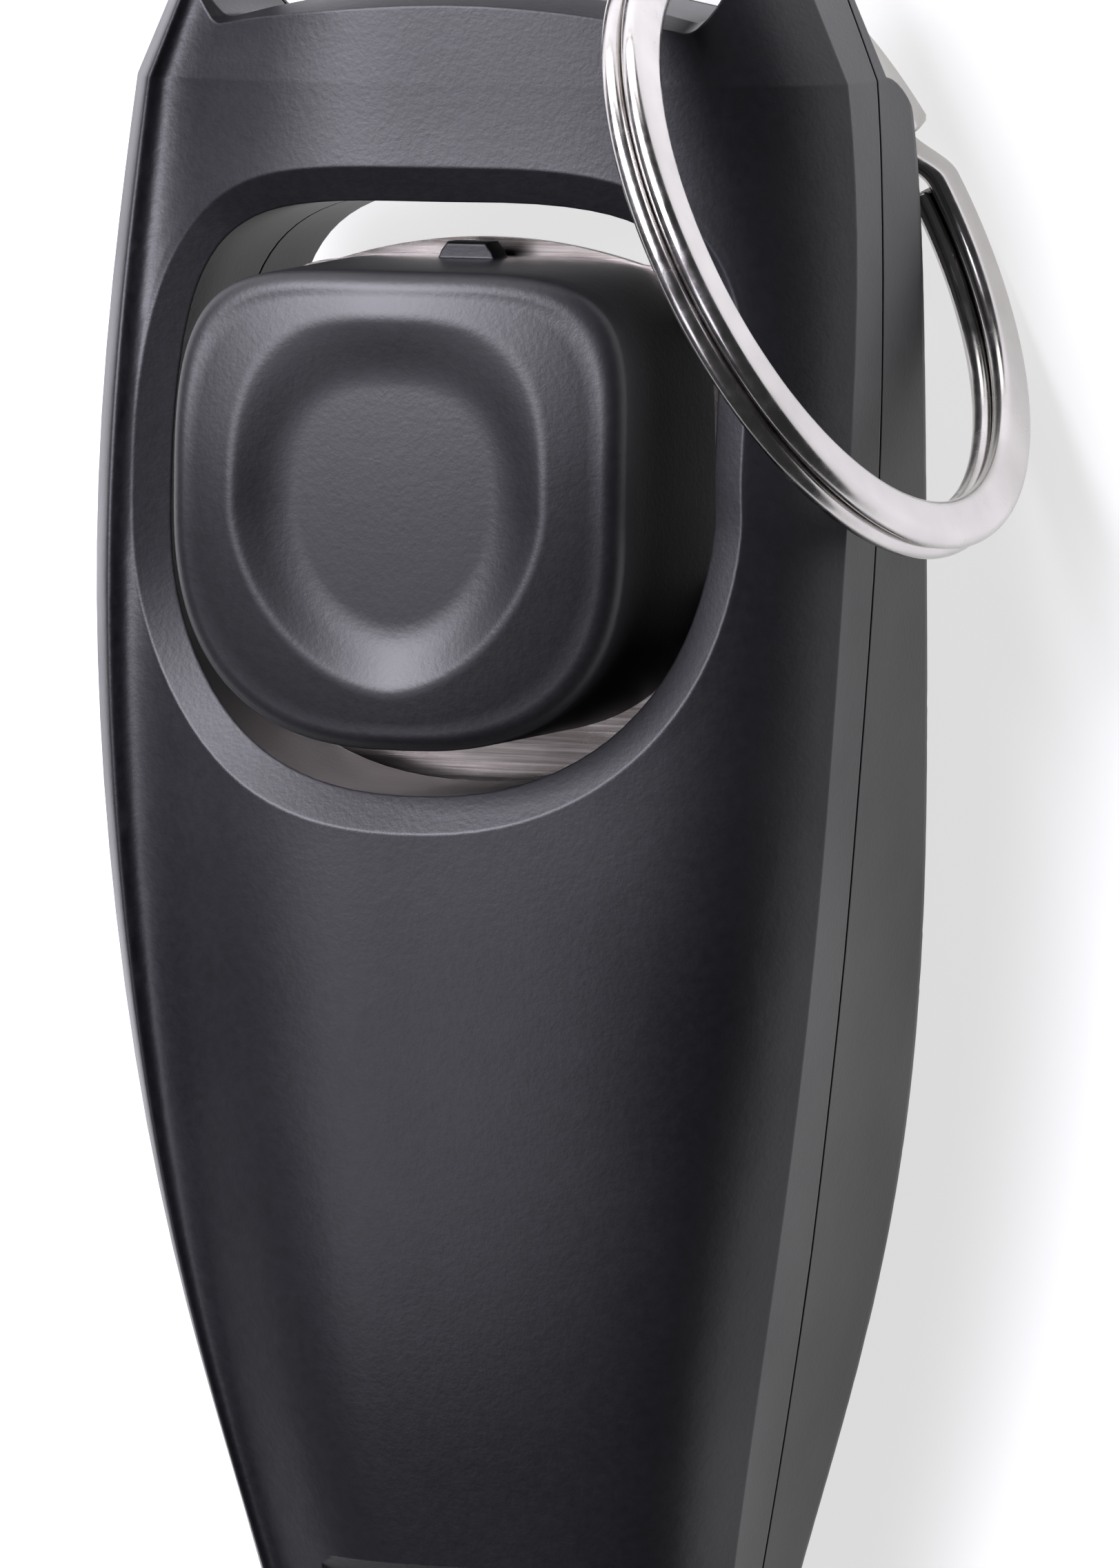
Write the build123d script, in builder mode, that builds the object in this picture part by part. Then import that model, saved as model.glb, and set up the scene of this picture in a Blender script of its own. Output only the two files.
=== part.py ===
from build123d import *
import os
from math import cos, sin, radians, pi, sqrt

os.makedirs("parts", exist_ok=True)

# ---------------------------------------------------------------------------
# Pocket clicker trainer with a whistle mouthpiece, lying on its back.
# +X is the width (right-hand side seen from the front), +Y runs from the
# mouthpiece to the strap end, +Z is the front, where the button is.
# The origin is the centre of the flat under the whistle chamber.
# ---------------------------------------------------------------------------

# overall
y_tip = -26.7            # mouthpiece end
y_top = 52.3             # strap end
wall = 1.7               # wall thickness of both shells
y_bend = 42.3            # where the sides turn in towards the strap end
shell_gap = 0.16         # shadow groove between the two shells

# stations of the outer form:
# (y, half width, height of the front crease, rise of the front arch, back)
stations = [
    (-26.7, 7.0, 8.7, 2.0, 4.6),
    (-19.5, 8.4, 10.1, 3.2, 3.1),
    (-12.6, 9.7, 11.3, 4.3, 1.4),
    (-5.6, 11.2, 12.7, 5.0, -0.1),
    (4.7, 13.1, 13.9, 5.3, -0.1),
    (15.0, 14.3, 14.2, 5.3, 1.7),
    (27.6, 14.9, 13.4, 5.3, 3.5),
    (37.6, 14.6, 11.9, 5.3, 3.4),
    (42.3, 14.1, 11.5, 5.3, 3.4),
]
top_station = (54.0, 8.9, 11.1, 4.9, 3.4)
edge_r = 1.5             # back edge radius
lug_back = 7.0           # back of the thin strap end
lug_r = 3.6              # round that leads from the back into the strap end

# parting line between the shells, (y, z)
parting = [(-27.5, 7.0), (-19.5, 7.5), (-10.8, 8.1), (-5.6, 8.9), (-0.4, 9.7),
           (4.7, 10.4), (10.0, 10.75), (15.0, 10.9), (20.0, 10.75),
           (27.6, 10.1), (37.6, 9.0), (44.0, 7.9), (53.0, 7.75)]

# clicker opening, right through both shells
hole_c = 27.25
hole_a = 10.85           # half width
hole_b = 10.75           # half height
bezel_run = 1.3          # facet round the opening, along the face
bezel_drop = 0.9         # and down the wall
skirt = 1.35             # wall round the opening inside the shells

# strap slot
slot_low_end, slot_low_mid = 44.5, 45.75
slot_high_end, slot_high_mid = 49.3, 49.9
slot_x = 9.3
slot_side = 10.6

# click plate
plate_z = 11.05          # underside of the plate
plate_t = 0.4
plate_w = 8.9            # half width
plate_top = 36.5         # free end
plate_bot = 9.3          # clamped end
clamp_x, clamp_y = 5.6, 11.6     # the two clamp screws
clamp_half = 2.1         # the clamp bar reaches this far each way along y

# button
btn_c = 27.0
btn_a, btn_b = 8.85, 8.7
btn_base_z = 11.5
btn_edge_z = 20.5
btn_crown = 22.1

# whistle
chamber_lo, chamber_hi = -15.6, 6.3
window_half = 6.0
ramp_top, lip_y, window_lo = -12.4, -16.2, -19.4
windway_half = 4.6
windway_h = 1.5

# split ring
ring_or = 12.4
ring_w = 1.8             # radial width of the wire
ring_t = 0.84            # thickness of one turn
ring_slit = 0.06
ring_c = (13.38, 36.7, 12.51)
ring_dir = -63.9         # direction from the slot to the ring's centre, degrees
ring_lean = 4.4          # how far it leans over, degrees

# screws
screw_r = 1.0
post_r = 2.1
head_r = 1.75
house_screws = [(-10.5, 38.9, 5.2, 12.9), (10.5, 38.9, 5.2, 12.9), (0, 7.35, 2.7, 14.6)]   # x, y, seat, tip


def end_plane(y):
    return Plane(origin=(0, y, 0), x_dir=(1, 0, 0), z_dir=(0, -1, 0))


def section(y, w, zc, a, zb, r=edge_r, draft=0.2):
    """Closed section of the body: crowned front, straight sides, flat back."""
    wb = w - draft
    with BuildSketch(end_plane(y)) as sk:
        with BuildLine():
            Spline((w, zc), (0.83 * w, zc + 0.59 * a), (0.5 * w, zc + 0.89 * a), (0, zc + a),
                   (-0.5 * w, zc + 0.89 * a), (-0.83 * w, zc + 0.59 * a), (-w, zc),
                   tangents=((-0.45, 0.9), (-0.45, -0.9)))
            Line((-w, zc), (-wb, zb + r))
            RadiusArc((-wb, zb + r), (-wb + r, zb), -r)
            Line((-wb + r, zb), (wb - r, zb))
            RadiusArc((wb - r, zb), (wb, zb + r), -r)
            Line((wb, zb + r), (w, zc))
        make_face()
    return sk.sketch


def oval(a, b, n_top, n_bot, count=24):
    """Points of a rounded square with its own squareness above and below."""
    pts = []
    for i in range(count):
        t = 2 * pi * i / count
        n = n_top if sin(t) >= 0 else n_bot
        c, s = cos(t), sin(t)
        pts.append((a * abs(c) ** (2 / n) * (1 if c >= 0 else -1),
                    b * abs(s) ** (2 / n) * (1 if s >= 0 else -1)))
    return pts


def oval_face(z, y, a, b, n_top, n_bot, dx=0.0):
    with BuildSketch(Plane.XY.offset(z)) as sk:
        with BuildLine(Plane(origin=(dx, y, 0))):
            Spline(*oval(a, b, n_top, n_bot), periodic=True)
        make_face()
    return sk.sketch


# --- outer form of the whole housing -----------------------------------------
with BuildPart() as body:
    loft([section(*s) for s in stations])
    loft([section(*stations[-1]), section(*top_station)], ruled=True)
    # rounded strap end, seen from the front
    with BuildSketch(Plane.XY) as plan:
        with BuildLine():
            l1 = Line((-20, y_tip), (20, y_tip))
            l2 = Line((20, y_tip), (20, 44.0))
            l3 = Line((20, 44.0), (11.3, 48.6))
            l4 = ThreePointArc((11.3, 48.6), (10.5, 50.6), (8.4, 51.75))
            l5 = ThreePointArc((8.4, 51.75), (0, y_top), (-8.4, 51.75))
            l6 = ThreePointArc((-8.4, 51.75), (-10.5, 50.6), (-11.3, 48.6))
            l7 = Line((-11.3, 48.6), (-20, 44.0))
            l8 = Line((-20, 44.0), (-20, y_tip))
        make_face()
    extrude(amount=30, mode=Mode.INTERSECT)
    # flat to lie on, the back's rise into the thin strap end
    with BuildSketch(Plane.YZ) as back:
        with BuildLine():
            Polyline((-40, -6), (70, -6), (70, lug_back), (y_bend + 0.1, lug_back))
            ThreePointArc((y_bend + 0.1, lug_back),
                          (y_bend + 0.1 - lug_r * (1 - cos(radians(45))), lug_back - lug_r * sin(radians(45)) + 0.2),
                          (y_bend + 0.1 - lug_r, 3.3))
            Polyline((y_bend + 0.1 - lug_r, 3.3), (y_bend + 0.1 - lug_r, 0), (-40, 0), (-40, -6))
        make_face()
    extrude(amount=20, both=True, mode=Mode.SUBTRACT)


# region in front of the parting line, used to cut the body in two
def front_region(shift):
    with BuildPart() as region:
        with BuildSketch(Plane.YZ):
            with BuildLine():
                Spline(*[(y, z + shift) for y, z in parting])
                Polyline((parting[-1][0], parting[-1][1] + shift), (60, 40), (-40, 40),
                         (parting[0][0], parting[0][1] + shift))
            make_face()
        extrude(amount=20, both=True)
    return region.part


front_side = front_region(shell_gap / 2)
front_side_low = front_region(-shell_gap / 2)

# --- inside spaces -------------------------------------------------------------
def inner(stns, t=wall):
    return [section(y, w - t, zc - 0.5 * t, a - 0.5 * t, zb + t, r=1.0, draft=0.1)
            for y, w, zc, a, zb in stns]


def between(y):
    """Station interpolated on the outer form."""
    for (a, b) in zip(stations, stations[1:]):
        if a[0] <= y <= b[0]:
            k = (y - a[0]) / (b[0] - a[0])
            return tuple(p + k * (q - p) for p, q in zip(a, b))


with BuildPart() as click_room:                 # holds the plate and its clamp
    loft(inner([between(8.3), stations[5], stations[6], stations[7], between(40.4)]))

with BuildPart() as chamber:                    # whistle sound chamber
    loft(inner([between(chamber_lo), between(-12.6), stations[3], stations[4], between(chamber_hi)]))

with BuildPart() as back_flare:                 # the opening widens towards the back
    loft([oval_face(2.9, hole_c, hole_a + 1.35, hole_b + 1.35, 4.0, 2.25),
          oval_face(4.6, hole_c, hole_a, hole_b, 4.0, 2.25)])
hole_top = oval_face(0, hole_c, hole_a, hole_b, 4.0, 2.25)
with BuildPart() as hole_cut:
    extrude(hole_top, amount=30)
with BuildPart() as hole_wall:                  # tube round the opening
    extrude(oval_face(0, hole_c, hole_a + skirt, hole_b + skirt, 4.0, 2.25), amount=30)
    add(body.part, mode=Mode.INTERSECT)

def slot_outline(z, grow):
    lo, hi = slot_low_end - grow, slot_high_end + grow
    sx, mid = slot_x + 0.5 * grow, 0.5 * (slot_low_end + slot_high_end)
    with BuildSketch(Plane.XY.offset(z)) as sk:
        with BuildLine():
            ThreePointArc((-sx, lo), (0, slot_low_mid - grow), (sx, lo))
            ThreePointArc((-sx, hi), (0, slot_high_mid + grow), (sx, hi))
            ThreePointArc((sx, lo), (slot_side + grow, mid), (sx, hi))
            ThreePointArc((-sx, lo), (-slot_side - grow, mid), (-sx, hi))
        make_face()
        fillet(sk.vertices(), 0.6)
    return sk.sketch


with BuildPart() as slot_cut:
    extrude(slot_outline(0, 0), amount=30)
with BuildPart() as slot_flare_front:
    loft([slot_outline(13.9, 0.0), slot_outline(17.9, 0.9)])
with BuildPart() as slot_flare:                 # eased edge at the back of the slot
    loft([slot_outline(lug_back - 0.2, 0.62), slot_outline(lug_back + 0.45, 0.0)])

# channel for the plate through the wall round the opening
with BuildPart() as plate_channel:
    with BuildSketch(Plane.XY.offset(plate_z - 2.2)):
        with Locations((0, 0.5 * (plate_bot - 0.3 + hole_c))):
            Rectangle(2 * plate_w + 0.6, hole_c - plate_bot + 0.3)
    extrude(amount=2.2 + plate_t + 1.3)

# --- whistle windway space and window --------------------------------------------
# the mouthpiece is hollow up to the window, and the whistle block fills its floor
way_roof = [(y_tip, 9.3), (window_lo, 10.9)]
with BuildPart() as throat:
    with BuildSketch(Plane.YZ):
        with BuildLine():
            Polyline((y_tip - 1, way_roof[0][1] - 0.23), (window_lo, way_roof[1][1]),
                     (lip_y + 0.8, 11.3), (chamber_lo + 0.5, 11.3),
                     (chamber_lo + 0.5, 5.4), (window_lo, 4.9), (y_tip - 1, 6.15), (y_tip - 1, way_roof[0][1] - 0.23))
        make_face()
    extrude(amount=windway_half, both=True)

# window and the ramp that leads down to its lip
with BuildPart() as window_cut:
    with BuildSketch(Plane.YZ):
        with BuildLine():
            Polyline((window_lo, 10.3), (window_lo, 20), (ramp_top, 20), (ramp_top, 15.2),
                     (lip_y, 11.6), (lip_y, 10.3), (window_lo, 10.3))
        make_face()
    extrude(amount=window_half - 0.7, both=True)

# --- posts -------------------------------------------------------------------------
def posts(points, r, lo, hi):
    with BuildPart() as p:
        for x, y in points:
            with BuildSketch(Plane.XY.offset(lo)):
                with Locations((x, y)):
                    Circle(r)
            extrude(amount=hi - lo)
    return p.part


house_xy = [(x, y) for x, y, seat, tip in house_screws]
house_front = posts(house_xy, post_r, 5, 25)
house_rear = posts(house_xy, post_r + 0.35, 0, 14)
clamp_pair = posts([(-clamp_x, clamp_y), (clamp_x, clamp_y)], 2.5, 1, plate_z)
with BuildPart() as front_posts:
    add(house_front)
    add(body.part, mode=Mode.INTERSECT)
    add(front_side, mode=Mode.INTERSECT)
with BuildPart() as clamp_posts:
    add(clamp_pair)
    with BuildSketch(Plane.XY.offset(1.0)):
        with Locations((0, clamp_y)):
            Rectangle(2 * clamp_x, 1.6)
    extrude(amount=plate_z - 1.0)
    add(body.part, mode=Mode.INTERSECT)
with BuildPart() as rear_house_posts:
    add(house_rear)
    add(body.part, mode=Mode.INTERSECT)
    add(front_side_low, mode=Mode.SUBTRACT)

# --- shells ------------------------------------------------------------------------
with BuildPart() as front_wall:
    add(hole_wall.part)
    add(front_side, mode=Mode.INTERSECT)
with BuildPart() as rear_wall:
    add(hole_wall.part)
    add(front_side_low, mode=Mode.SUBTRACT)


def on_rim(edge):
    """True for the edges where the opening meets the front face."""
    for k in (0.1, 0.5, 0.9):
        p = edge @ k
        yy = (p.Y - hole_c) / hole_b
        n = 4.0 if yy >= 0 else 2.25
        if abs((abs(p.X) / hole_a) ** n + abs(yy) ** n - 1) > 0.06 or p.Z < 13.5:
            return False
    return True


with BuildPart() as front_shell:
    add(body.part)
    add(front_side, mode=Mode.INTERSECT)
    add(click_room.part, mode=Mode.SUBTRACT)
    add(chamber.part, mode=Mode.SUBTRACT)
    add(front_wall.part)
    add(front_posts.part)
    add(plate_channel.part, mode=Mode.SUBTRACT)
    add(hole_cut.part, mode=Mode.SUBTRACT)
    rim = front_shell.edges().filter_by(on_rim)
    chamfer(rim, length=bezel_drop, length2=bezel_run)
    add(slot_flare_front.part, mode=Mode.SUBTRACT)
    add(slot_cut.part, mode=Mode.SUBTRACT)
    add(throat.part, mode=Mode.SUBTRACT)
    add(window_cut.part, mode=Mode.SUBTRACT)
    for x, y, seat, tip in house_screws:
        with BuildSketch(Plane.XY.offset(6)):
            with Locations((x, y)):
                Circle(screw_r)
        extrude(amount=tip + 0.3 - 6, mode=Mode.SUBTRACT)

with BuildPart() as rear_shell:
    add(body.part)
    add(front_side_low, mode=Mode.SUBTRACT)
    add(click_room.part, mode=Mode.SUBTRACT)
    add(chamber.part, mode=Mode.SUBTRACT)
    add(rear_wall.part)
    add(rear_house_posts.part)
    add(plate_channel.part, mode=Mode.SUBTRACT)
    add(clamp_posts.part)
    add(hole_cut.part, mode=Mode.SUBTRACT)
    add(back_flare.part, mode=Mode.SUBTRACT)
    add(slot_cut.part, mode=Mode.SUBTRACT)
    add(slot_flare.part, mode=Mode.SUBTRACT)
    add(throat.part, mode=Mode.SUBTRACT)
    for x, y, seat, tip in house_screws:
        with BuildSketch(Plane.XY.offset(-1)):
            with Locations((x, y)):
                Circle(screw_r + 0.15)
        extrude(amount=16, mode=Mode.SUBTRACT)
        with BuildSketch(Plane.XY.offset(-1)):
            with Locations((x, y)):
                Circle(head_r + 0.2)
        extrude(amount=seat + 1, mode=Mode.SUBTRACT)
    for x in (-clamp_x, clamp_x):
        with BuildSketch(Plane.XY.offset(6.0)):
            with Locations((x, clamp_y)):
                Circle(screw_r)
        extrude(amount=8, mode=Mode.SUBTRACT)

# --- whistle block -----------------------------------------------------------------
with BuildPart() as whistle_block:
    with BuildSketch(Plane.YZ):
        with BuildLine():
            Polyline((y_tip + 0.3, 6.08), (y_tip + 0.3, way_roof[0][1] - windway_h + 0.1),
                     (window_lo, way_roof[1][1] - windway_h), (window_lo, 4.9),
                     (y_tip + 0.3, 6.08))
        make_face()
    extrude(amount=windway_half - 0.02, both=True)

# --- click plate -------------------------------------------------------------------
stud_y = (btn_c - 4.0, btn_c + 4.6)
with BuildPart() as click_plate:
    with BuildSketch(Plane.XY.offset(plate_z)) as sk:
        with BuildLine():
            Line((-plate_w + 0.6, plate_bot), (plate_w - 0.6, plate_bot))
            Line((plate_w - 0.6, plate_bot), (plate_w, plate_bot + 0.6))
            Line((plate_w, plate_bot + 0.6), (plate_w, plate_top - 3.2))
            ThreePointArc((plate_w, plate_top - 3.2), (plate_w - 1.0, plate_top - 1.75), (plate_w - 2.8, plate_top - 0.95))
            ThreePointArc((plate_w - 2.8, plate_top - 0.95), (0, plate_top), (-plate_w + 2.8, plate_top - 0.95))
            ThreePointArc((-plate_w + 2.8, plate_top - 0.95), (-plate_w + 1.0, plate_top - 1.75), (-plate_w, plate_top - 3.2))
            Line((-plate_w, plate_top - 3.2), (-plate_w, plate_bot + 0.6))
            Line((-plate_w, plate_bot + 0.6), (-plate_w + 0.6, plate_bot))
        make_face()
        with Locations((-clamp_x, clamp_y), (clamp_x, clamp_y)):
            Circle(1.15, mode=Mode.SUBTRACT)
        with Locations((0, stud_y[0]), (0, stud_y[1])):
            Circle(1.35, mode=Mode.SUBTRACT)
    extrude(amount=plate_t)

with BuildPart() as plate_clamp:
    with BuildSketch(Plane.XY.offset(plate_z + plate_t)):
        with Locations((0, clamp_y)):
            RectangleRounded(2 * 8.3, 2 * clamp_half, 1.0)
        with Locations((-clamp_x, clamp_y), (clamp_x, clamp_y)):
            Circle(1.15, mode=Mode.SUBTRACT)
    extrude(amount=1.4)
    chamfer(plate_clamp.faces().sort_by(Axis.Z)[-1].outer_wire().edges(), 0.3)


def screw(x, y, seat, tip):
    """Pan head self-tapping screw with a cross recess, head seated at z = seat."""
    sg = 1 if tip > seat else -1

    def level(z):
        return Plane(origin=(x, y, z), x_dir=(1, 0, 0), z_dir=(0, 0, sg))

    with BuildPart() as p:
        with BuildSketch(level(seat)):
            Circle(screw_r)
        extrude(amount=abs(tip - seat))
        chamfer(p.edges().filter_by(lambda e: abs((e @ 0.5).Z - tip) < 0.01), 0.4)
        with BuildSketch(level(seat - sg * 1.2)):
            Circle(head_r)
        extrude(amount=1.2)
        fillet(p.edges().filter_by(lambda e: abs((e @ 0.5).Z - seat + sg * 1.2) < 0.01), 0.35)
        with BuildSketch(level(seat - sg * 1.2)):
            Rectangle(1.9, 0.42)
            Rectangle(0.42, 1.9)
        extrude(amount=0.65, mode=Mode.SUBTRACT)
    return p.part


clamp_screw_parts = [screw(x, clamp_y, plate_z + plate_t + 1.4, 6.6) for x in (-clamp_x, clamp_x)]
house_screw_parts = [screw(x, y, seat, tip) for x, y, seat, tip in house_screws]
with BuildPart() as clamp_screws:
    for one in clamp_screw_parts:
        add(one)
with BuildPart() as housing_screws:
    for one in house_screw_parts:
        add(one)

# --- button ------------------------------------------------------------------------
def btn_face(z, grow):
    return oval_face(z, btn_c, btn_a + grow, btn_b + grow, 4.6, 2.6)


dish_y = btn_c + 0.25
with BuildPart() as button:
    loft([btn_face(btn_base_z, 0.75), btn_face(btn_crown + 1.0, -0.05)])
    # slight dome over the whole face
    dome_r = 0.5 * ((btn_a ** 2) / (btn_crown - btn_edge_z) + (btn_crown - btn_edge_z))
    with BuildSketch(Plane.XZ.offset(-btn_c)):
        with BuildLine():
            RadiusArc((0, btn_crown), (14, btn_crown - dome_r + sqrt(dome_r ** 2 - 14 ** 2)), dome_r)
            Polyline((14, btn_crown - dome_r + sqrt(dome_r ** 2 - 14 ** 2)), (14, btn_base_z), (0, btn_base_z), (0, btn_crown))
        make_face()
    revolve(axis=Axis((0, btn_c, 0), (0, 0, 1)), mode=Mode.INTERSECT)
    top_edges = button.edges().filter_by(lambda e: (e @ 0.5).Z > btn_base_z + 4)
    fillet(top_edges, 0.8)
    # thumb dish
    dish_hi = oval_face(btn_crown + 0.6, dish_y, 6.6, 7.1, 2.9, 1.75)
    dish_lo = oval_face(btn_crown - 1.7, dish_y, 4.4, 4.9, 2.7, 1.9)
    loft([dish_lo, dish_hi], mode=Mode.SUBTRACT)
    # hollow from below
    loft([btn_face(btn_base_z - 0.01, -1.0), btn_face(btn_base_z + 6.6, -1.5)], mode=Mode.SUBTRACT)
    # studs that go through the plate
    for y in stud_y:
        with BuildSketch(Plane.XY.offset(plate_z - 1.25)):
            with Locations((0, y)):
                Circle(1.15)
        extrude(amount=10)
        with BuildSketch(Plane.XY.offset(btn_base_z)):
            with Locations((0, y)):
                Circle(2.2)
        extrude(amount=8)
    # small stop lug on the strap side
    with BuildSketch(Plane.XY.offset(btn_base_z + 1.0)):
        with BuildLine():
            Polyline((-1.7, btn_c + 8.2), (-0.9, btn_c + 10.05), (0.9, btn_c + 10.05), (1.7, btn_c + 8.2), (-1.7, btn_c + 8.2))
        make_face()
    extrude(amount=1.2)

with BuildPart() as push_nuts:
    for y in stud_y:
        with BuildSketch(Plane.XY.offset(plate_z)):
            with Locations((0, y)):
                Circle(2.5)
                Circle(1.15, mode=Mode.SUBTRACT)
        extrude(amount=-0.5)

# --- split ring --------------------------------------------------------------------
e_dir = (cos(radians(ring_dir)), sin(radians(ring_dir)), 0)
n_dir = (-sin(radians(ring_dir)) * cos(radians(ring_lean)), cos(radians(ring_dir)) * cos(radians(ring_lean)),
         sin(radians(ring_lean)))
up_dir = (sin(radians(ring_dir)) * sin(radians(ring_lean)), -cos(radians(ring_dir)) * sin(radians(ring_lean)),
          cos(radians(ring_lean)))
half = 0.5 * (ring_slit + ring_t)
with BuildPart() as split_ring:
    with BuildSketch(Plane(origin=ring_c, x_dir=e_dir, z_dir=up_dir)):
        with Locations((ring_or - 0.5 * ring_w, half), (ring_or - 0.5 * ring_w, -half)):
            RectangleRounded(ring_w, ring_t, 0.34)
    revolve(axis=Axis(ring_c, n_dir))
    with BuildSketch(Plane(origin=ring_c, x_dir=e_dir, z_dir=n_dir)):
        with Locations((ring_or - 0.5 * ring_w, 0)):
            Rectangle(ring_w - 0.7, 3.0)
    extrude(amount=0.2, both=True)

for piece, name in ((front_shell, "front_shell"), (rear_shell, "rear_shell"), (whistle_block, "whistle_block"),
                    (click_plate, "click_plate"), (plate_clamp, "plate_clamp"), (clamp_screws, "clamp_screws"),
                    (housing_screws, "housing_screws"), (button, "button"), (push_nuts, "push_nuts"),
                    (split_ring, "split_ring")):
    piece.part.label = name
    export_step(piece.part, f"parts/{name}.step")
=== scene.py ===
import math

import bmesh
import bpy
import numpy as np
from mathutils import Matrix, Vector


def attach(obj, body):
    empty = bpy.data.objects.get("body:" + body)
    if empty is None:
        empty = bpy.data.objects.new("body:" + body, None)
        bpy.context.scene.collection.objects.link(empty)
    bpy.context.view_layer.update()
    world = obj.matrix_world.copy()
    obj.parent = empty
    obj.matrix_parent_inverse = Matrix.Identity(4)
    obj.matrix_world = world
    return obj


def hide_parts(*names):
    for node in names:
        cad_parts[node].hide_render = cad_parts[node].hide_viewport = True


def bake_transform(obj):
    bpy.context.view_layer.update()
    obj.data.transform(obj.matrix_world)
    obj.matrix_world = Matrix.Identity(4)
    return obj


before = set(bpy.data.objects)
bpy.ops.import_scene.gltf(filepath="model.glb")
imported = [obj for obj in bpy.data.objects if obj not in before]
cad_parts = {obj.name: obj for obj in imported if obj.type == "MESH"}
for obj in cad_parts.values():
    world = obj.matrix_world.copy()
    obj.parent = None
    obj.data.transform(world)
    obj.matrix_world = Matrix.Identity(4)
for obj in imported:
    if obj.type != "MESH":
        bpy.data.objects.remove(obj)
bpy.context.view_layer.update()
MM = 0.001


# --- small helpers ----------------------------------------------------------------
def mesh_object(name, verts, faces, smooth=True, sharp_deg=32):
    """A mesh in millimetres, as an object in metres."""
    me = bpy.data.meshes.new(name)
    me.from_pydata([(x * MM, y * MM, z * MM) for x, y, z in verts], [], faces)
    me.validate()
    bm = bmesh.new()
    bm.from_mesh(me)
    bmesh.ops.recalc_face_normals(bm, faces=bm.faces)
    bm.to_mesh(me)
    bm.free()
    me.update()
    ob = bpy.data.objects.new(name, me)
    bpy.context.scene.collection.objects.link(ob)
    if smooth:
        me.shade_smooth()
        me.set_sharp_from_angle(angle=math.radians(sharp_deg))
    return ob


def lathe_grid(rings, closed=True, cap_start=False, cap_end=False):
    """Faces between equal rings of vertex numbers."""
    faces = []
    n = len(rings[0])
    for a, b in zip(rings, rings[1:]):
        for i in range(n if closed else n - 1):
            j = (i + 1) % n
            faces.append((a[i], a[j], b[j], b[i]))
    if cap_start:
        faces.append(tuple(reversed(rings[0])))
    if cap_end:
        faces.append(tuple(rings[-1]))
    return faces


def spow(v, p):
    return math.copysign(abs(v) ** p, v)


def outline(a, b, nt, nb, cy, count=160):
    """Rounded square with its own squareness towards +y and -y."""
    pts = []
    for i in range(count):
        t = 2 * math.pi * i / count
        n = nt if math.sin(t) >= 0 else nb
        pts.append((a * spow(math.cos(t), 2 / n), cy + b * spow(math.sin(t), 2 / n)))
    return pts


# --- materials --------------------------------------------------------------------
class Mat:
    def __init__(self, name):
        self.m = bpy.data.materials.new(name)
        self.m.use_nodes = True
        self.t = self.m.node_tree
        self.bsdf = self.t.nodes["Principled BSDF"]
        self.tc = self.t.nodes.new("ShaderNodeTexCoord")

    def new(self, kind, **props):
        n = self.t.nodes.new(kind)
        for k, v in props.items():
            setattr(n, k, v)
        return n

    def link(self, a, b):
        self.t.links.new(a, b)

    def mapped(self, scale=(1, 1, 1), rot=(0, 0, 0)):
        mp = self.new("ShaderNodeMapping")
        mp.inputs["Scale"].default_value = scale
        mp.inputs["Rotation"].default_value = rot
        self.link(self.tc.outputs["Object"], mp.inputs["Vector"])
        return mp.outputs["Vector"]

    def noise(self, scale, detail=3.0, rough=0.55, vec=None):
        n = self.new("ShaderNodeTexNoise")
        n.inputs["Scale"].default_value = scale
        n.inputs["Detail"].default_value = detail
        n.inputs["Roughness"].default_value = rough
        self.link(vec if vec is not None else self.tc.outputs["Object"], n.inputs["Vector"])
        return n.outputs["Fac"]

    def ramp(self, fac, stops):
        r = self.new("ShaderNodeValToRGB")
        cr = r.color_ramp
        while len(cr.elements) < len(stops):
            cr.elements.new(0.5)
        for e, (p, c) in zip(cr.elements, stops):
            e.position = p
            e.color = (c, c, c, 1) if not isinstance(c, tuple) else (*c, 1)
        self.link(fac, r.inputs["Fac"])
        return r.outputs["Color"]

    def spread(self, fac, lo, hi, a=0.3, b=0.7):
        m = self.new("ShaderNodeMapRange")
        m.inputs["From Min"].default_value = a
        m.inputs["From Max"].default_value = b
        m.inputs["To Min"].default_value = lo
        m.inputs["To Max"].default_value = hi
        self.link(fac, m.inputs["Value"])
        return m.outputs["Result"]

    def bump(self, height, strength, distance, normal=None):
        b = self.new("ShaderNodeBump")
        b.inputs["Strength"].default_value = strength
        b.inputs["Distance"].default_value = distance
        self.link(height, b.inputs["Height"])
        if normal is not None:
            self.link(normal, b.inputs["Normal"])
        return b.outputs["Normal"]


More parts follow.
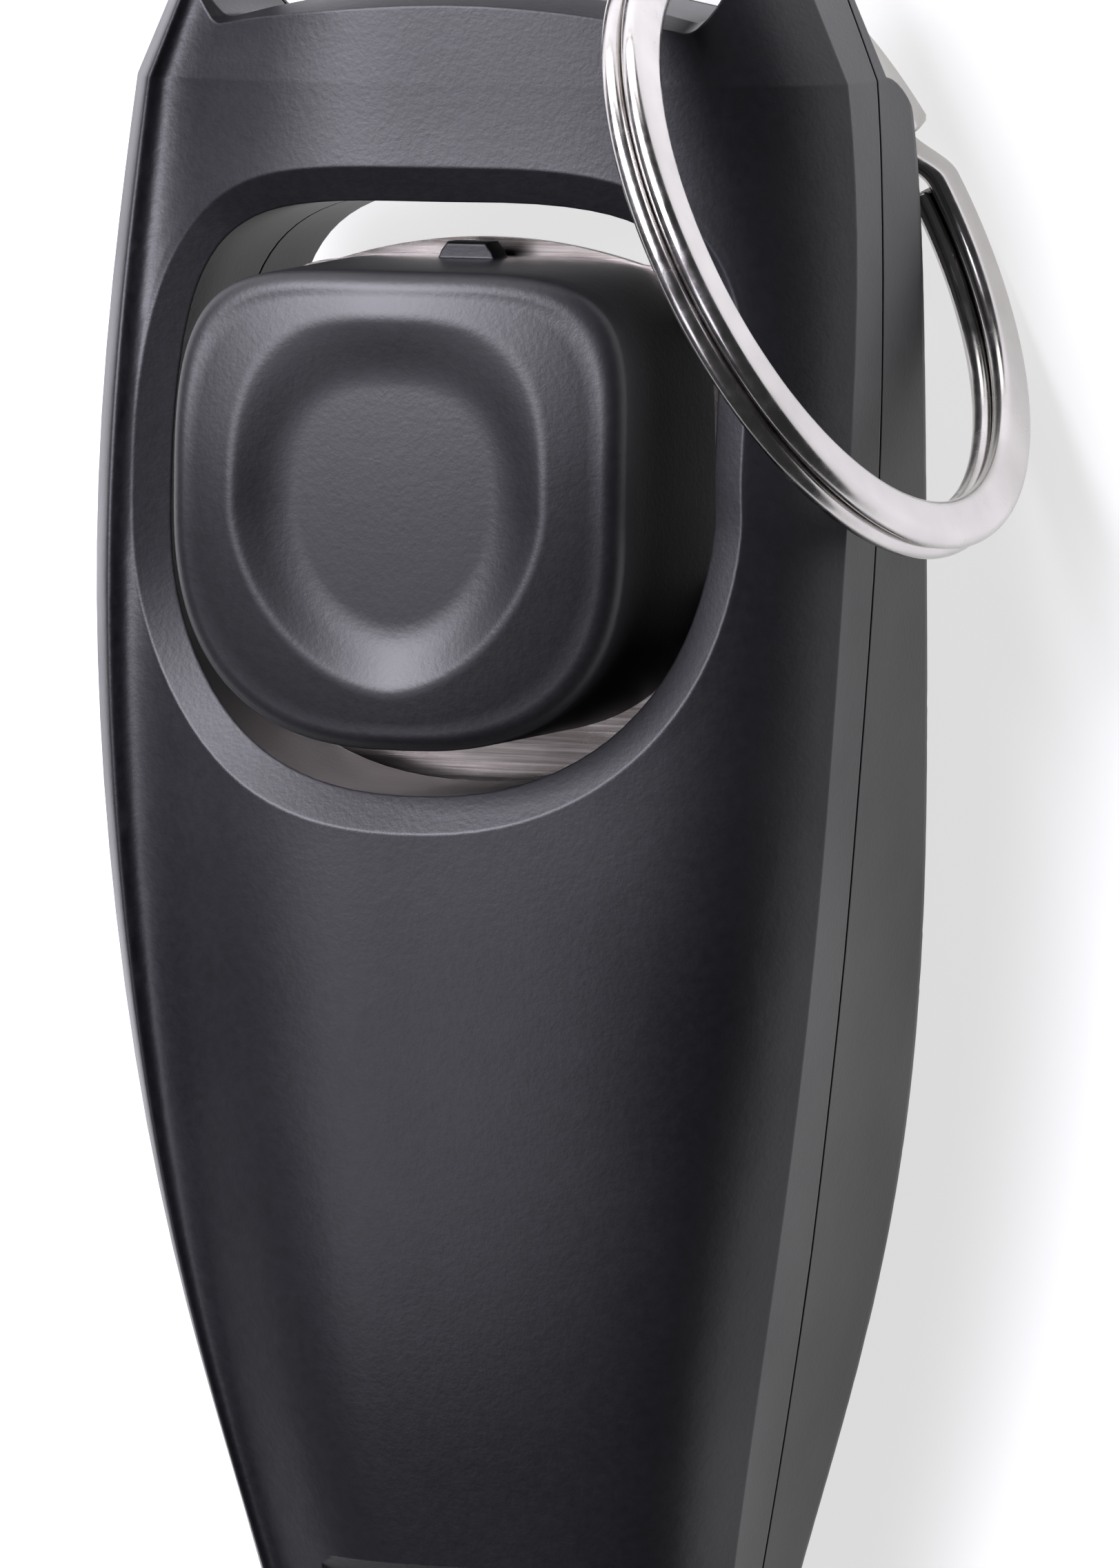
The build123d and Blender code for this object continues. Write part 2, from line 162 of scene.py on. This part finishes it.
def plastic(name, base=(0.0050, 0.0048, 0.0062), rough=(0.38, 0.47), edge=0.14, grain=1.0):
    """Black moulded plastic with a fine spark-eroded texture and slightly polished edges."""
    p = Mat(name)
    bev = p.new("ShaderNodeBevel", samples=6)
    bev.inputs["Radius"].default_value = edge * MM
    fine = p.noise(5200, 2.0, 0.6)
    mid = p.noise(1900, 2.0, 0.55)
    broad = p.noise(70, 3.0, 0.5)
    n1 = p.bump(fine, 0.34 * grain, 0.022 * MM, bev.outputs["Normal"])
    n2 = p.bump(mid, 0.16 * grain, 0.030 * MM, n1)
    p.link(n2, p.bsdf.inputs["Normal"])
    # edges rubbed a little smoother and lighter
    geo = p.new("ShaderNodeNewGeometry")
    dot = p.new("ShaderNodeVectorMath", operation="DOT_PRODUCT")
    p.link(bev.outputs["Normal"], dot.inputs[0])
    p.link(geo.outputs["Normal"], dot.inputs[1])
    worn = p.spread(dot.outputs["Value"], 1.0, 0.0, 0.90, 0.995)
    patchy = p.new("ShaderNodeMath", operation="MULTIPLY")
    p.link(worn, patchy.inputs[0])
    p.link(p.spread(p.noise(420, 4.0, 0.6), 0.2, 1.0, 0.35, 0.65), patchy.inputs[1])
    mix = p.new("ShaderNodeMix", data_type="RGBA")
    mix.inputs[7].default_value = (base[0] * 2.6, base[1] * 2.6, base[2] * 2.6, 1)
    lo = tuple(c * 0.80 for c in base)
    hi = tuple(c * 1.30 for c in base)
    p.link(p.ramp(p.noise(2600, 3.0, 0.6), [(0.32, lo), (0.68, hi)]), mix.inputs[6])
    p.link(patchy.outputs[0], mix.inputs[0])
    p.link(mix.outputs[2], p.bsdf.inputs["Base Color"])
    r = p.new("ShaderNodeMath", operation="MULTIPLY_ADD", use_clamp=True)
    p.link(patchy.outputs[0], r.inputs[0])
    r.inputs[1].default_value = -0.08
    p.link(p.spread(broad, rough[0], rough[1], 0.35, 0.65), r.inputs[2])
    p.link(r.outputs[0], p.bsdf.inputs["Roughness"])
    p.bsdf.inputs["IOR"].default_value = 1.43
    return p.m


def spring_steel(name):
    """Rolled spring steel, brushed across the plate, with a warm oil tint."""
    p = Mat(name)
    across = p.mapped(scale=(90, 5200, 5200), rot=(0, 0, math.radians(8)))
    streak = p.noise(1.0, 5.0, 0.65, across)
    wide = p.noise(1.0, 3.0, 0.5, p.mapped(scale=(140, 900, 400), rot=(0, 0, math.radians(8))))
    blotch = p.noise(260, 4.0, 0.6)
    tint = p.new("ShaderNodeMix", data_type="RGBA")
    p.link(p.ramp(streak, [(0.3, (0.070, 0.060, 0.053)), (0.5, (0.24, 0.215, 0.195)), (0.70, (0.56, 0.53, 0.50))]), tint.inputs[6])
    p.link(p.ramp(blotch, [(0.3, (0.10, 0.088, 0.078)), (0.7, (0.38, 0.35, 0.325))]), tint.inputs[7])
    tint.inputs[0].default_value = 0.35
    p.link(tint.outputs[2], p.bsdf.inputs["Base Color"])
    p.bsdf.inputs["Metallic"].default_value = 1.0
    p.bsdf.inputs["Anisotropic"].default_value = 0.5
    p.link(p.spread(wide, 0.20, 0.40), p.bsdf.inputs["Roughness"])
    p.link(p.bump(streak, 0.4, 0.010 * MM), p.bsdf.inputs["Normal"])
    return p.m


def nickel(name):
    """Nickel plated wire with fine handling scratches."""
    p = Mat(name)
    fine = p.noise(1.0, 5.0, 0.7, p.mapped(scale=(2600, 2600, 420), rot=(0.3, 0.5, 0.2)))
    marks = p.noise(900, 5.0, 0.7)
    dull = p.noise(160, 3.0, 0.5)
    p.link(p.ramp(dull, [(0.3, (0.40, 0.385, 0.372)), (0.7, (0.57, 0.55, 0.535))]), p.bsdf.inputs["Base Color"])
    p.bsdf.inputs["Metallic"].default_value = 1.0
    p.link(p.spread(marks, 0.13, 0.30), p.bsdf.inputs["Roughness"])
    n1 = p.bump(fine, 0.16, 0.008 * MM)
    p.link(p.bump(marks, 0.12, 0.012 * MM, n1), p.bsdf.inputs["Normal"])
    return p.m


def screw_black(name, base=(0.03, 0.03, 0.032), rough=(0.3, 0.48)):
    p = Mat(name)
    p.link(p.ramp(p.noise(800, 4.0), [(0.3, tuple(c * 0.7 for c in base)), (0.7, tuple(c * 1.6 for c in base))]),
           p.bsdf.inputs["Base Color"])
    p.bsdf.inputs["Metallic"].default_value = 0.85
    p.link(p.spread(p.noise(500, 4.0), rough[0], rough[1]), p.bsdf.inputs["Roughness"])
    p.link(p.bump(p.noise(3000, 3.0), 0.15, 0.01 * MM), p.bsdf.inputs["Normal"])
    return p.m


black = plastic("black_plastic")
button_black = plastic("button_plastic", base=(0.0050, 0.0048, 0.0060), rough=(0.38, 0.47), edge=0.12)
steel = spring_steel("spring_steel")
ring_metal = nickel("ring_steel")
screws = screw_black("screw_steel")
nuts = screw_black("nut_steel", base=(0.30, 0.29, 0.28), rough=(0.22, 0.40))


def dress(node, mat):
    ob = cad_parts[node]
    if not ob.material_slots:
        ob.data.materials.append(mat)
    for s in ob.material_slots:
        s.link = "OBJECT"
        s.material = mat


dress("front_shell", black)
dress("rear_shell", black)
dress("whistle_block", black)
dress("plate_clamp", black)
dress("clamp_screws", screws)
dress("housing_screws", screws)
dress("push_nuts", nuts)
dress("click_plate", steel)
dress("split_ring", ring_metal)
dress("button", button_black)


# --- button -----------------------------------------------------------------------
BC = 27.0
CROWN, EDGE_Z, BASE_Z = 22.1, 20.5, 11.5
BA, BB = 8.85, 8.70
DOME_R = 0.5 * (BA ** 2 / (CROWN - EDGE_Z) + (CROWN - EDGE_Z))


def dome(x, y):
    r2 = x * x + (y - BC) ** 2
    return CROWN - (DOME_R - math.sqrt(max(DOME_R ** 2 - r2, 0.0)))


def build_button():
    rings, verts = [], []
    n = 200
    dy = BC + 0.25

    def ring(a, b, nt, nb, cy, zf):
        ids = []
        for x, y in outline(a, b, nt, nb, cy, n):
            ids.append(len(verts))
            verts.append((x, y, zf(x, y)))
        rings.append(ids)

    floor_z = CROWN - 1.55

    def floor(x, y):
        # nearly flat, a little higher in the middle
        return floor_z + 0.16 * (1 - min(1.0, (x * x + (y - dy) ** 2) / 25.0))

    # dish floor
    for k in (0.1, 0.18, 0.28, 0.4, 0.55, 0.7, 0.82, 0.9, 0.95):
        ring(3.75 * k, 4.25 * k, 2.7, 1.9, dy, floor)
    # fillet from the floor into the sloped wall, wall, rounded rim
    wall_lo, wall_hi = (3.75, 4.25), (6.1, 6.8)
    for k in (0.0, 0.06, 0.13, 0.2, 0.3, 0.42, 0.54, 0.66, 0.78, 0.86, 0.91, 0.95, 0.99, 1.03, 1.07, 1.1, 1.14):
        a = wall_lo[0] + (wall_hi[0] - wall_lo[0]) * k
        b = wall_lo[1] + (wall_hi[1] - wall_lo[1]) * k
        nt = 2.7 + 0.4 * min(k, 1)
        nb = 1.9 - 0.15 * min(k, 1)
        if k <= 0.91:
            s = k ** 1.8
        else:
            q = min((k - 0.91) / 0.19, 1.0)
            s = 0.844 + 0.317 * (q - 0.5 * q * q)
        s_top = 0.844 + 0.1585

        def zf(x, y, s=s, s_top=s_top):
            f = floor(x, y)
            return f + (dome(x, y) - f) * min(s / s_top, 1.0)
        ring(a, b, nt, nb, dy, zf)
    # top face out to the edge
    ia, ib, icy, int_, inb = wall_lo[0] + 2.35 * 1.14, wall_lo[1] + 2.55 * 1.14, dy, 3.1, 1.75
    round_r = 0.85
    oa, ob_ = BA - round_r, BB - round_r
    for k in (0.25, 0.5, 0.75, 1.0):
        ring(ia + (oa - ia) * k, ib + (ob_ - ib) * k, int_ + (4.2 - int_) * k, inb + (2.55 - inb) * k,
             icy + (BC - icy) * k, dome)
    # rounded edge
    for d in (10, 20, 30, 40, 50, 60, 70, 80, 88):
        t = math.radians(d)
        drop = round_r * (1 - math.cos(t))
        out = round_r * math.sin(t)
        ring(oa + out, ob_ + out, 4.2 + 0.4 * d / 90, 2.55 + 0.05 * d / 90, BC,
             lambda x, y, drop=drop, out=out: dome(x * oa / (oa + out), BC + (y - BC) * ob_ / (ob_ + out)) - drop)
    # side wall down to the base, with a thin outward flare
    for k in (0.15, 0.35, 0.6, 0.8, 0.93, 1.0):
        g = 0.14 * k

        def zside(x, y, k=k, g=g):
            top = dome(x * oa / (BA + g), BC + (y - BC) * ob_ / (BB + g)) - round_r
            return top + (BASE_Z - top) * k
        ring(BA + g, BB + g, 4.6, 2.6, BC, zside)
    # underside lip, then up inside
    ring(BA - 0.6, BB - 0.6, 4.6, 2.6, BC, lambda x, y: BASE_Z)
    ring(BA - 0.9, BB - 0.9, 4.6, 2.6, BC, lambda x, y: BASE_Z + 4.0)
    ring(BA - 1.3, BB - 1.3, 4.6, 2.6, BC, lambda x, y: BASE_Z + 6.2)
    faces = lathe_grid(rings)
    faces.append(tuple(rings[0]))
    c2 = len(verts)
    verts.append((0, BC, BASE_Z + 6.6))
    for i in range(n):
        faces.append((c2, rings[-1][(i + 1) % n], rings[-1][i]))

    # studs that go through the plate, with eased ends
    for sy in (BC - 4.0, BC + 4.6):
        prof = [(0.0, 9.8), (0.85, 9.8), (1.15, 10.1), (1.15, 11.5), (2.2, 11.5), (2.2, 18.2), (0.0, 18.2)]
        rr = []
        for r, z in prof:
            ids = []
            for i in range(40):
                t = 2 * math.pi * i / 40
                ids.append(len(verts))
                verts.append((max(r, 0.01) * math.cos(t), sy + max(r, 0.01) * math.sin(t), z))
            rr.append(ids)
        faces += lathe_grid(rr, cap_start=True, cap_end=True)

    # stop lug towards the strap: a small hat with a sloped front
    base = len(verts)
    lug = [(-1.45, BC + 8.2), (-1.05, BC + 9.1), (-0.8, BC + 9.42), (0.8, BC + 9.42), (1.05, BC + 9.1), (1.45, BC + 8.2)]
    for z, s in ((BASE_Z + 1.0, 1.0), (BASE_Z + 1.95, 1.0), (BASE_Z + 2.15, 0.93)):
        for x, y in lug:
            verts.append((x * s, BC + 8.2 + (y - BC - 8.2) * s, z))
    L = len(lug)
    for lv in range(2):
        for i in range(L):
            j = (i + 1) % L
            faces.append((base + lv * L + i, base + lv * L + j, base + (lv + 1) * L + j, base + (lv + 1) * L + i))
    faces.append(tuple(base + 2 * L + i for i in range(L)))
    faces.append(tuple(reversed([base + i for i in range(L)])))
    ob = mesh_object("thumb_button", verts, faces, sharp_deg=40)
    ob.data.materials.append(button_black)
    return ob


btn = build_button()
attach(btn, "button")
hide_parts("button")


# --- click plate ------------------------------------------------------------------
def build_plate():
    W, BOT, TOP, Z, T = 8.9, 9.3, 36.5, 11.05, 0.4
    xs = sorted(set([round(W * math.sin(math.radians(a)), 5) for a in np.linspace(-90, 90, 73)]))
    nx, ny = len(xs), 110

    def yend(x):
        ax = abs(x)
        if ax <= 6.1:
            return TOP - 0.95 * (ax / 6.1) ** 2
        return TOP - 0.95 - 2.25 * (1 - math.sqrt(max(1 - ((ax - 6.1) / 2.8) ** 2, 0)))

    verts, faces = [], []

    def sag(x, y):
        # rolled crown across the plate and the shallow stamped dish that snaps over
        d = math.exp(-((x / 5.2) ** 2 + ((y - 27.3) / 5.5) ** 2))
        return -0.10 * d + 0.05 * (1 - (x / W) ** 2) - 0.05

    def idx(side, i, j):
        return side * nx * ny + j * nx + i

    for side in (0, 1):
        for j in range(ny):
            t = j / (ny - 1)
            t = 1 - (1 - t) ** 1.3
            for x in xs:
                y = BOT + t * (yend(x) - BOT)
                verts.append((x, y, Z + (T if side else 0) + sag(x, y)))
    for j in range(ny - 1):
        for i in range(nx - 1):
            faces.append((idx(1, i, j), idx(1, i + 1, j), idx(1, i + 1, j + 1), idx(1, i, j + 1)))
            faces.append((idx(0, i, j + 1), idx(0, i + 1, j + 1), idx(0, i + 1, j), idx(0, i, j)))
    rim = [(i, 0) for i in range(nx)] + [(nx - 1, j) for j in range(1, ny)] + \
          [(i, ny - 1) for i in range(nx - 2, -1, -1)] + [(0, j) for j in range(ny - 2, 0, -1)]
    for a, b in zip(rim, rim[1:] + rim[:1]):
        faces.append((idx(0, *a), idx(0, *b), idx(1, *b), idx(1, *a)))
    ob = mesh_object("click_plate_sheet", verts, faces, sharp_deg=35)
    ob.data.materials.append(steel)
    return ob


plate = build_plate()
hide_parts("click_plate")
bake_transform(plate)


# --- split ring: one wire wound twice, stepping from one layer to the other ----------
def build_ring():
    OR, WR, T, SLIT = 12.4, 1.8, 0.84, 0.06
    C = Vector((13.38, 36.7, 12.51))
    ang, lean = math.radians(-63.9), math.radians(4.4)
    e = Vector((math.cos(ang), math.sin(ang), 0))
    n = Vector((-math.sin(ang) * math.cos(lean), math.cos(ang) * math.cos(lean), math.sin(lean)))
    up = Vector((math.sin(ang) * math.sin(lean), -math.cos(ang) * math.sin(lean), math.cos(lean)))
    half = 0.5 * (SLIT + T)
    rc = OR - 0.5 * WR
    gap = math.radians(11)
    start = math.radians(-96)
    steps = 900
    sec = []
    cr = 0.415
    hx, hz = 0.5 * WR - cr, 0.5 * T - cr
    for cx, cz, a0 in ((hx, hz, 0), (-hx, hz, 90), (-hx, -hz, 180), (hx, -hz, 270)):
        for d in (0, 15, 30, 45, 60, 75, 90):
            t = math.radians(a0 + d)
            sec.append((cx + cr * math.cos(t), cz + cr * math.sin(t)))
    verts, rings = [], []
    total = 4 * math.pi - gap
    for k in range(steps + 1):
        th = total * k / steps
        if th < 2 * math.pi - gap:
            off = -half
        elif th < 2 * math.pi:
            q = (th - (2 * math.pi - gap)) / gap
            off = -half + 2 * half * (q * q * (3 - 2 * q))
        else:
            off = half
        shrink = 1.0
        if k in (0, steps):
            shrink = 0.82
        a = start + th
        radial = e * math.cos(a) + up * math.sin(a)
        ids = []
        for u, v in sec:
            p = C + radial * (rc + u * shrink) + n * (off + v * shrink)
            ids.append(len(verts))
            verts.append(tuple(p))
        rings.append(ids)
    faces = lathe_grid(rings, cap_start=True, cap_end=True)
    ob = mesh_object("split_ring_coil", verts, faces, sharp_deg=50)
    ob.data.materials.append(ring_metal)
    return ob


ring = build_ring()
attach(ring, "ring")
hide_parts("split_ring")

# --- floor ------------------------------------------------------------------------
def build_floor():
    v, f, n, s = [], [], 24, 1.6
    for j in range(n + 1):
        for i in range(n + 1):
            v.append(((i / n - 0.5) * s * 1000, (j / n - 0.5) * s * 1000, -0.02))
    for j in range(n):
        for i in range(n):
            a = j * (n + 1) + i
            f.append((a, a + 1, a + n + 2, a + n + 1))
    ob = mesh_object("floor", v, f)
    p = Mat("pale_floor")
    p.link(p.ramp(p.noise(18, 3.0), [(0.3, (0.38, 0.38, 0.385)), (0.7, (0.41, 0.41, 0.41))]), p.bsdf.inputs["Base Color"])
    p.bsdf.inputs["Roughness"].default_value = 0.75
    p.bsdf.inputs["Specular IOR Level"].default_value = 0.2
    p.bsdf.inputs["Emission Color"].default_value = (1.0, 1.0, 1.0, 1)
    p.bsdf.inputs["Emission Strength"].default_value = 0.70
    p.link(p.bump(p.noise(900, 2.0), 0.05, 0.02 * MM), p.bsdf.inputs["Normal"])
    ob.data.materials.append(p.m)
    return ob


floor = build_floor()

# --- light ------------------------------------------------------------------------
TARGET = Vector((0.0034, 0.0165, 0.0129))


def softbox(name, direction, distance, size, size_y, power, color=(1, 1, 1)):
    d = Vector(direction).normalized()
    li = bpy.data.lights.new(name, "AREA")
    li.shape = "RECTANGLE"
    li.size, li.size_y = size, size_y
    li.energy = power
    li.color = color
    ob = bpy.data.objects.new(name, li)
    bpy.context.scene.collection.objects.link(ob)
    ob.location = TARGET + d * distance
    ob.rotation_mode = "QUATERNION"
    ob.rotation_quaternion = d.to_track_quat("Z", "Y")
    return ob


softbox("key_softbox", (-0.40, 0.50, 0.77), 0.60, 0.36, 0.44, 11.0, (0.965, 0.94, 1.06))
softbox("low_fill", (-0.36, -0.34, 0.87), 0.62, 0.20, 0.30, 0.62, (0.965, 0.94, 1.06))
softbox("back_strip", (-0.30, 0.93, 0.22), 0.60, 0.60, 0.22, 1.2, (1.0, 0.985, 1.0))

world = bpy.data.worlds.new("studio")
bpy.context.scene.world = world
world.use_nodes = True
bg = world.node_tree.nodes["Background"]
bg.inputs["Color"].default_value = (0.96, 0.97, 1.0, 1)
bg.inputs["Strength"].default_value = 0.05
bpy.context.scene.view_settings.view_transform = "Standard"
bpy.context.scene.view_settings.look = "None"

# --- camera -----------------------------------------------------------------------
d = Vector((0.3725, 0.1045, 0.9221)).normalized()
r = Vector((0.9272, 0.0, -0.3746)).normalized()
u = d.cross(r).normalized()
r = u.cross(d).normalized()
cam_data = bpy.data.cameras.new("camera")
cam = bpy.data.objects.new("camera", cam_data)
bpy.context.scene.collection.objects.link(cam)
cam_data.sensor_fit = "AUTO"
cam_data.sensor_width = 36.0
cam_data.lens = 250.0
cam_data.clip_start, cam_data.clip_end = 0.01, 5.0
rot = Matrix((r, u, d)).transposed().to_4x4()
cam.matrix_world = Matrix.Translation(Vector((0.00342, 0.01653, 0.01292)) + d * 0.400) @ rot
bpy.context.scene.camera = cam
